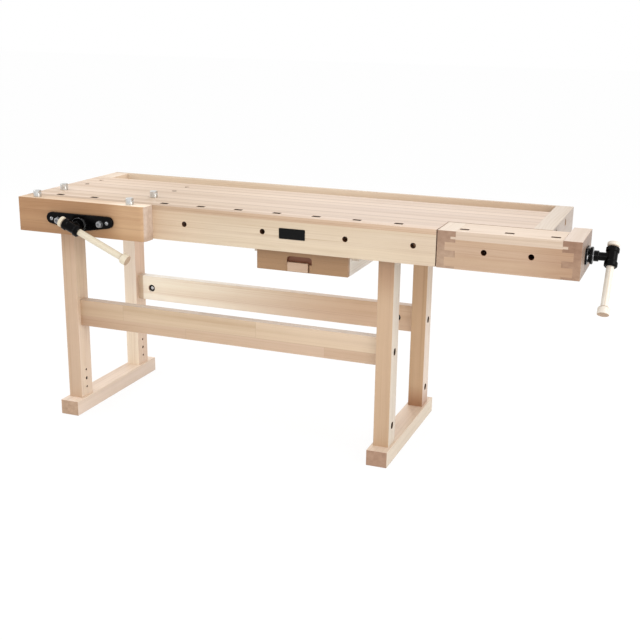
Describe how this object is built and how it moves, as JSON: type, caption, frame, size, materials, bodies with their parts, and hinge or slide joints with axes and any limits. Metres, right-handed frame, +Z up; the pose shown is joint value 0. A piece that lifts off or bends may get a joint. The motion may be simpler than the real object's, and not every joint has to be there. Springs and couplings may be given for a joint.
{
  "type": "woodworking bench",
  "caption": "Wooden workbench on two trestles with a tool tray, a drawer, steel bench dogs, a front vise and an L-shaped tail vise, both worked by screws with sliding handles.",
  "frame": {"origin": "on the floor, under the middle of the whole bench", "axes": "+X along the bench towards the tail vise, +Y away from the user towards the tool tray, +Z up"},
  "size_m": [2.188, 0.78, 0.912],
  "materials": {
    "top_wood": "oiled planed beech, pale",
    "apron_wood": "oiled beech board",
    "cap_wood": "oiled beech strip, darker",
    "rail_wood": "oiled beech rail",
    "tray_ply": "birch plywood",
    "leg_wood": "oiled beech",
    "stretcher_wood": "oiled beech",
    "chop_wood": "glued beech lamination",
    "vise_wood": "oiled beech",
    "end_grain": "end grain beech",
    "drawer_wood": "birch board",
    "handle_wood": "turned beech",
    "black_iron": "black enamelled casting",
    "bright_steel": "zinc plated",
    "rod_steel": "drawn steel",
    "black_bolt": "black oxide",
    "badge_black": "bare black plate"
  },
  "bodies": {
    "bench": {"apron": "apron_wood", "apron_cap": "cap_wood", "dog_strip": "top_wood", "slab": "top_wood", "tray_bottom": "tray_ply", "back_rail": "rail_wood", "tray_end_block": "top_wood", "end_cap": "top_wood", "cap_bolts": "black_bolt", "badge_plate": "badge_black", "foot_left": "leg_wood", "foot_right": "leg_wood", "leg_front_left": "leg_wood", "leg_back_left": "leg_wood", "leg_front_right": "leg_wood", "leg_back_right": "leg_wood", "top_rails": "leg_wood", "top_bolts": "black_bolt", "stretcher_front": "stretcher_wood", "stretcher_back": "stretcher_wood", "stretcher_bolts": "black_bolt", "cross_nuts": "black_bolt", "stretcher_dowels": "handle_wood", "nut_bracket": "black_iron", "bracket_screws": "bright_steel", "guide_rail": "vise_wood", "rod_bearing": "vise_wood", "tail_nut": "black_iron", "drawer_runners": "vise_wood"},
    "front_vise": {"front_chop": "chop_wood", "front_plate": "black_iron", "plate_bolts": "bright_steel", "guide_rods": "rod_steel", "rod_tie": "black_iron"},
    "front_turning_screw": {"front_screw": "rod_steel", "front_snap_ring": "rod_steel", "front_hub": "black_iron"},
    "front_sliding_handle": {"front_handle": "handle_wood", "front_knobs": "handle_wood"},
    "tail_vise": {"tail_jaw": "end_grain", "tail_end_block": "end_grain", "tail_front_board": "vise_wood", "tail_top_plank": "top_wood", "jaw_tongue": "vise_wood", "tail_flange": "black_iron", "flange_screws": "bright_steel", "tail_rod": "rod_steel"},
    "tail_turning_screw": {"tail_screw": "rod_steel", "tail_snap_ring": "rod_steel", "tail_hub": "black_iron"},
    "tail_sliding_handle": {"tail_handle": "handle_wood", "tail_knobs": "handle_wood"},
    "chop_dog_left": {"dog_chop_left": "bright_steel"},
    "chop_dog_right": {"dog_chop_right": "bright_steel"},
    "top_dog_left": {"dog_top_left": "bright_steel"},
    "top_dog_right": {"dog_top_right": "bright_steel"},
    "drawer": {"drawer_front": "drawer_wood", "drawer_box": "drawer_wood", "drawer_bottom": "tray_ply", "drawer_pull": "drawer_wood"}
  },
  "joints": [
    {"name": "front_screw_turn", "type": "hinge", "parent": "front_vise", "child": "front_turning_screw", "pos_m": [-0.8235, -0.368, 0.802], "axis": [0, -1, 0], "range_deg": [0, 9000]},
    {"name": "front_vise_slide", "type": "slide", "parent": "bench", "child": "front_vise", "axis": [0, -1, 0], "range_m": [0, 0.15]},
    {"name": "front_handle_slide", "type": "slide", "parent": "front_turning_screw", "child": "front_sliding_handle", "axis": [-0.9135, 0, 0.4067], "range_m": [0, 0.1901]},
    {"name": "tail_screw_turn", "type": "hinge", "parent": "tail_vise", "child": "tail_turning_screw", "pos_m": [1.072, -0.13, 0.823], "axis": [1, 0, 0], "range_deg": [0, 10800]},
    {"name": "tail_vise_slide", "type": "slide", "parent": "bench", "child": "tail_vise", "axis": [1, 0, 0], "range_m": [0, 0.18]},
    {"name": "tail_handle_slide", "type": "slide", "parent": "tail_turning_screw", "child": "tail_sliding_handle", "axis": [0, 0.5878, 0.809], "range_m": [0, 0.1391]},
    {"name": "chop_dog_left_lift", "type": "slide", "parent": "front_vise", "child": "chop_dog_left", "axis": [0, 0, 1], "range_m": [0, 0.07]},
    {"name": "chop_dog_right_lift", "type": "slide", "parent": "front_vise", "child": "chop_dog_right", "axis": [0, 0, 1], "range_m": [0, 0.07]},
    {"name": "top_dog_left_lift", "type": "slide", "parent": "bench", "child": "top_dog_left", "axis": [0, 0, 1], "range_m": [0, 0.07]},
    {"name": "top_dog_right_lift", "type": "slide", "parent": "bench", "child": "top_dog_right", "axis": [0, 0, 1], "range_m": [0, 0.07]},
    {"name": "drawer_slide", "type": "slide", "parent": "bench", "child": "drawer", "axis": [0, -1, 0], "range_m": [0, 0.28]}
  ],
  "couplings": [
    {"joint": "front_vise_slide", "follows": "front_screw_turn", "m_per_rad": 0.00095493},
    {"joint": "tail_vise_slide", "follows": "tail_screw_turn", "m_per_rad": 0.00095493}
  ]
}
